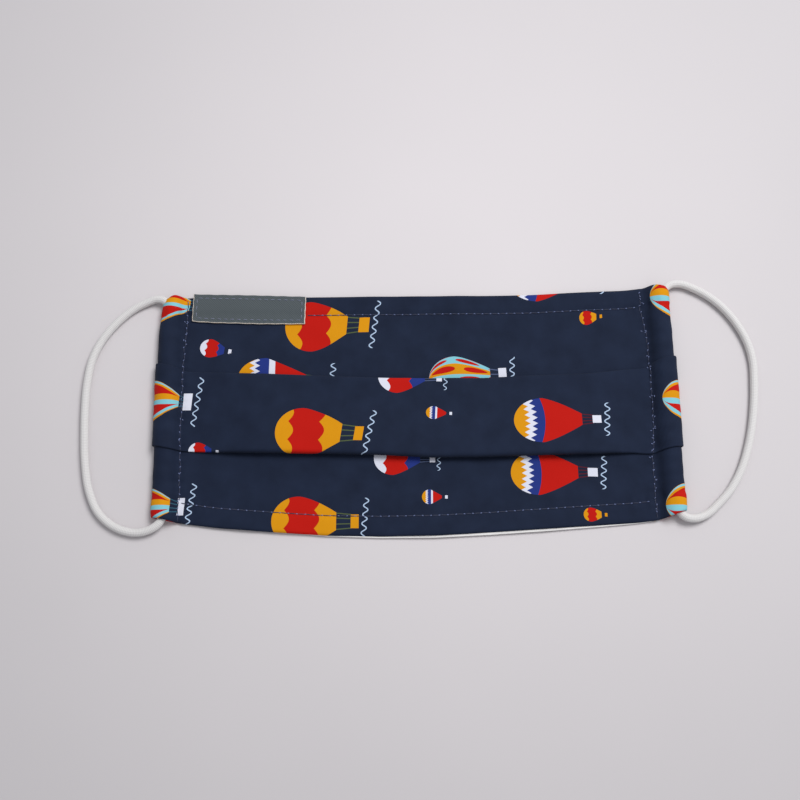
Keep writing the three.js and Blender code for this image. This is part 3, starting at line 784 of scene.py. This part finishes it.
grey_weave, tree, shader = new_material("grey_label_weave")
nodes, links = tree.nodes, tree.links
coordinates = nodes.new("ShaderNodeTexCoord")
in_mm = nodes.new("ShaderNodeMapping")
in_mm.inputs["Scale"].default_value = (1000.0, 1000.0, 1000.0)
links.new(coordinates.outputs["Object"], in_mm.inputs["Vector"])
twill = nodes.new("ShaderNodeTexWave")
twill.bands_direction = "DIAGONAL"
twill.inputs["Scale"].default_value = 0.7
twill.inputs["Distortion"].default_value = 1.4
twill.inputs["Detail"].default_value = 2.0
links.new(in_mm.outputs["Vector"], twill.inputs["Vector"])
tint = tint_by(tree, twill.outputs["Fac"], (0.0, linear(60, 68, 72)), (1.0, linear(79, 87, 91)))
edge_mark = nodes.new("ShaderNodeAttribute")
edge_mark.attribute_name = "raw_edge"
frayed = nodes.new("ShaderNodeTexNoise")
frayed.inputs["Scale"].default_value = 1.1
frayed.inputs["Detail"].default_value = 2.0
links.new(in_mm.outputs["Vector"], frayed.inputs["Vector"])
edge_share = edge_mark.outputs["Fac"]
fray_amount = calc("ADD", edge_share, calc("MULTIPLY_ADD", frayed.outputs["Fac"], 0.9, -0.45))
near_edge = calc("GREATER_THAN", edge_share, 0.02)
is_frayed = calc("MULTIPLY", calc("GREATER_THAN", fray_amount, 0.38), near_edge)
links.new(blend_colour(is_frayed, tint, linear(210, 200, 188)), shader.inputs["Base Color"])
shader.inputs["Roughness"].default_value = 0.85
shader.inputs["Sheen Weight"].default_value = 0.15
emboss(tree, shader, twill.outputs["Fac"], 0.5, 0.00012)
label.data.materials.append(grey_weave)
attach(label, "root")
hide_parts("label")

# Stitches: dark blue polyester thread. Rows hold the top and bottom edges and both casings, and one runs round
# the label. Each stitch is a short arched length of thread. Between two stitches the paler thread from the back
# shows as a small knot in the needle hole.
seam_pitch = 2.6
label_pitch = 2.5
left_seam_shift = 0.9
row_start = -87.5
row_end = 86.1
# No stitches of the top edge's row show within this distance of the label's middle.
label_gap = 23.0
thread_colour = linear(40, 46, 74)
knot_colour = linear(104, 116, 158)
label_thread_colour = linear(122, 128, 150)
thread_sides = 8
thread_rings = 7


def sew(name, places, piece, thread_radius, colour):
    """Stitches on a piece: x, y, direction and length of each, in mm."""
    vertices = []
    faces = []
    for number, (x, y, angle, length) in enumerate(places):
        sway = 0.07 * math.sin(number * 2.4)
        start = len(vertices)
        for t in np.linspace(-1, 1, thread_rings):
            px = x + math.cos(angle) * t * length / 2 - math.sin(angle) * sway * t
            py = y + math.sin(angle) * t * length / 2 + math.cos(angle) * sway * t
            pz = surface_height(piece, px, py) + thread_radius * (0.75 - 1.7 * t ** 4)
            size = thread_radius * (1 - 0.25 * t ** 4)
            for k in range(thread_sides):
                turn = k * 2 * math.pi / thread_sides
                out, up = math.cos(turn) * size, math.sin(turn) * size
                vertices.append((px - math.sin(angle) * out, py + math.cos(angle) * out, pz + up))
        last = start + (thread_rings - 1) * thread_sides
        for ring in range(start, last, thread_sides):
            for k in range(thread_sides):
                a, b = ring + k, ring + (k + 1) % thread_sides
                faces.append((a, b, b + thread_sides, a + thread_sides))
        faces.append(tuple(start + k for k in range(thread_sides))[::-1])
        faces.append(tuple(last + k for k in range(thread_sides)))
    thread = new_object(name, vertices, faces)
    material, tree, shader = new_material(name + "_thread")
    coordinates = tree.nodes.new("ShaderNodeTexCoord")
    fibre = tree.nodes.new("ShaderNodeTexNoise")
    fibre.inputs["Scale"].default_value = 2500.0
    fibre.inputs["Detail"].default_value = 2.0
    tree.links.new(coordinates.outputs["Object"], fibre.inputs["Vector"])
    shaded = tuple(0.7 * c for c in colour[:3]) + (1.0,)
    tint = tint_by(tree, fibre.outputs["Fac"], (0.35, shaded), (0.65, colour))
    tree.links.new(tint, shader.inputs["Base Color"])
    shader.inputs["Roughness"].default_value = 0.6
    shader.inputs["Sheen Weight"].default_value = 0.1
    emboss(tree, shader, fibre.outputs["Fac"], 0.4, 0.00005)
    thread.data.materials.append(material)
    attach(thread, "root")


def edge_row(line, inset, start, length):
    """Stitches along the top edge (line 0) or the bottom edge (line 3), from seam to seam."""
    places = []
    for x in np.arange(row_start + start, row_end, stitch_pitch):
        if line == 0 and abs(x - label_place[0]) < label_gap:
            continue
        y = lines_at(x)[line] + inset
        rise = lines_at(x + 1)[line] - lines_at(x - 1)[line]
        places.append((x, y, math.atan2(rise, 2.0), length))
    return places


for name, line, inset in (("top", 0, -stitch_inset), ("bottom", 3, stitch_inset)):
    sew(name + "_stitches", edge_row(line, inset, 0.0, 2.5), outer, 0.16, thread_colour)
    knots = edge_row(line, inset, stitch_pitch / 2, 0.8)
    sew(name + "_knots", knots, outer, 0.19, knot_colour)
for side, sign in (("left", -1), ("right", 1)):
    low, high = lines_at(sign * casing_seam)[3], lines_at(sign * casing_seam)[0]
    shift = left_seam_shift if sign < 0 else 0.0
    random = np.random.default_rng(7 + sign)
    stitches, knots = [], []
    for y in np.arange(low + 1.5, high - 1.0, seam_pitch):
        x = sign * (float(seam_at(sign, y)) + shift + random.uniform(-0.2, 0.2))
        stitches.append((x, y, math.pi / 2 + random.uniform(-0.12, 0.12), 2.1))
        knots.append((x + random.uniform(-0.15, 0.15), y + 1.3, math.pi / 2 + random.uniform(-0.9, 0.9), 0.8))
    # The needle went off line in places, more so at the right, and left small loops of thread there.
    for y in random.uniform(low + 1.5, high - 1.5, 26 if sign > 0 else 12):
        x = sign * (float(seam_at(sign, y)) + shift + random.normal(0.2, 0.55))
        knots.append((x, y, random.uniform(0, math.pi), random.uniform(0.5, 0.9)))
    sew("casing_stitches_" + side, stitches, outer, 0.15, thread_colour)
    sew("casing_knots_" + side, knots, outer, 0.18, knot_colour)

label_places = []
half_x, half_y = label_size[0] / 2 - label_inset, label_size[1] / 2 - label_inset
corners = [(-half_x, half_y), (half_x, half_y), (half_x, -half_y), (-half_x, -half_y), (-half_x, half_y)]
for (ax, ay), (bx, by) in zip(corners, corners[1:]):
    run = math.hypot(bx - ax, by - ay)
    number = round(run / label_pitch)
    for i in range(number):
        t = (i + 0.5) / number
        lx, ly = ax + (bx - ax) * t, ay + (by - ay) * t
        ly -= label_bow * (1 - 4 * (lx / label_size[0]) ** 2) * (0.5 - ly / label_size[1])
        x = label_place[0] + lx * math.cos(label_tilt) - ly * math.sin(label_tilt)
        y = label_place[1] + lx * math.sin(label_tilt) + ly * math.cos(label_tilt)
        label_places.append((x, y, math.atan2(by - ay, bx - ax) + label_tilt, 1.6))
sew("label_stitches", label_places, label, 0.16, label_thread_colour)

# Floor and light: a plain pale grey table top under one large soft light from the upper right, with an even fill.
# Its colour is painted paler about the mask than further out, as painted light falloff.
bpy.ops.object.select_all(action="DESELECT")
bpy.ops.mesh.primitive_plane_add(size=4.0)
floor = bpy.context.object
floor.name = "floor"
table_top, tree, shader = new_material("pale_table_top")
nodes, links = tree.nodes, tree.links
coordinates = nodes.new("ShaderNodeTexCoord")
mottle = nodes.new("ShaderNodeTexNoise")
mottle.inputs["Scale"].default_value = 9.0
mottle.inputs["Detail"].default_value = 3.0
links.new(coordinates.outputs["Object"], mottle.inputs["Vector"])
# Painted light: a spherical fade centred near the mask paints the table top paler there and darker further out,
# standing in for the falloff of the light. The mottle added to it is the table's own.
centred = nodes.new("ShaderNodeMapping")
centred.inputs["Location"].default_value = (0.0, -0.05, 0.0)
links.new(coordinates.outputs["Object"], centred.inputs["Vector"])
painted_light_falloff = nodes.new("ShaderNodeTexGradient")
painted_light_falloff.gradient_type = "SPHERICAL"
links.new(centred.outputs["Vector"], painted_light_falloff.inputs["Vector"])
pale = calc("MULTIPLY_ADD", calc("SUBTRACT", mottle.outputs["Fac"], 0.5), 0.05, painted_light_falloff.outputs["Fac"])
tint = tint_by(tree, pale, (0.68, linear(184, 181, 183)), (0.96, linear(213, 208, 210)))
links.new(tint, shader.inputs["Base Color"])
shader.inputs["Roughness"].default_value = 0.8
shader.inputs["Specular IOR Level"].default_value = 0.2
floor.data.materials.append(table_top)

bpy.ops.object.select_all(action="DESELECT")
bpy.ops.object.light_add(type="AREA", location=(0.45, 0.43, 0.95))
key = bpy.context.object
key.name = "key_light"
key.data.shape = "DISK"
key.data.size = 0.60
key.data.energy = 10.3
key.rotation_euler = (Vector((0, 0, 0)) - key.location).to_track_quat("-Z", "Y").to_euler()
world = bpy.data.worlds.new("soft_fill")
scene.world = world
world.use_nodes = True
world.node_tree.nodes["Background"].inputs["Color"].default_value = (0.95, 0.96, 1.0, 1.0)
world.node_tree.nodes["Background"].inputs["Strength"].default_value = 0.50
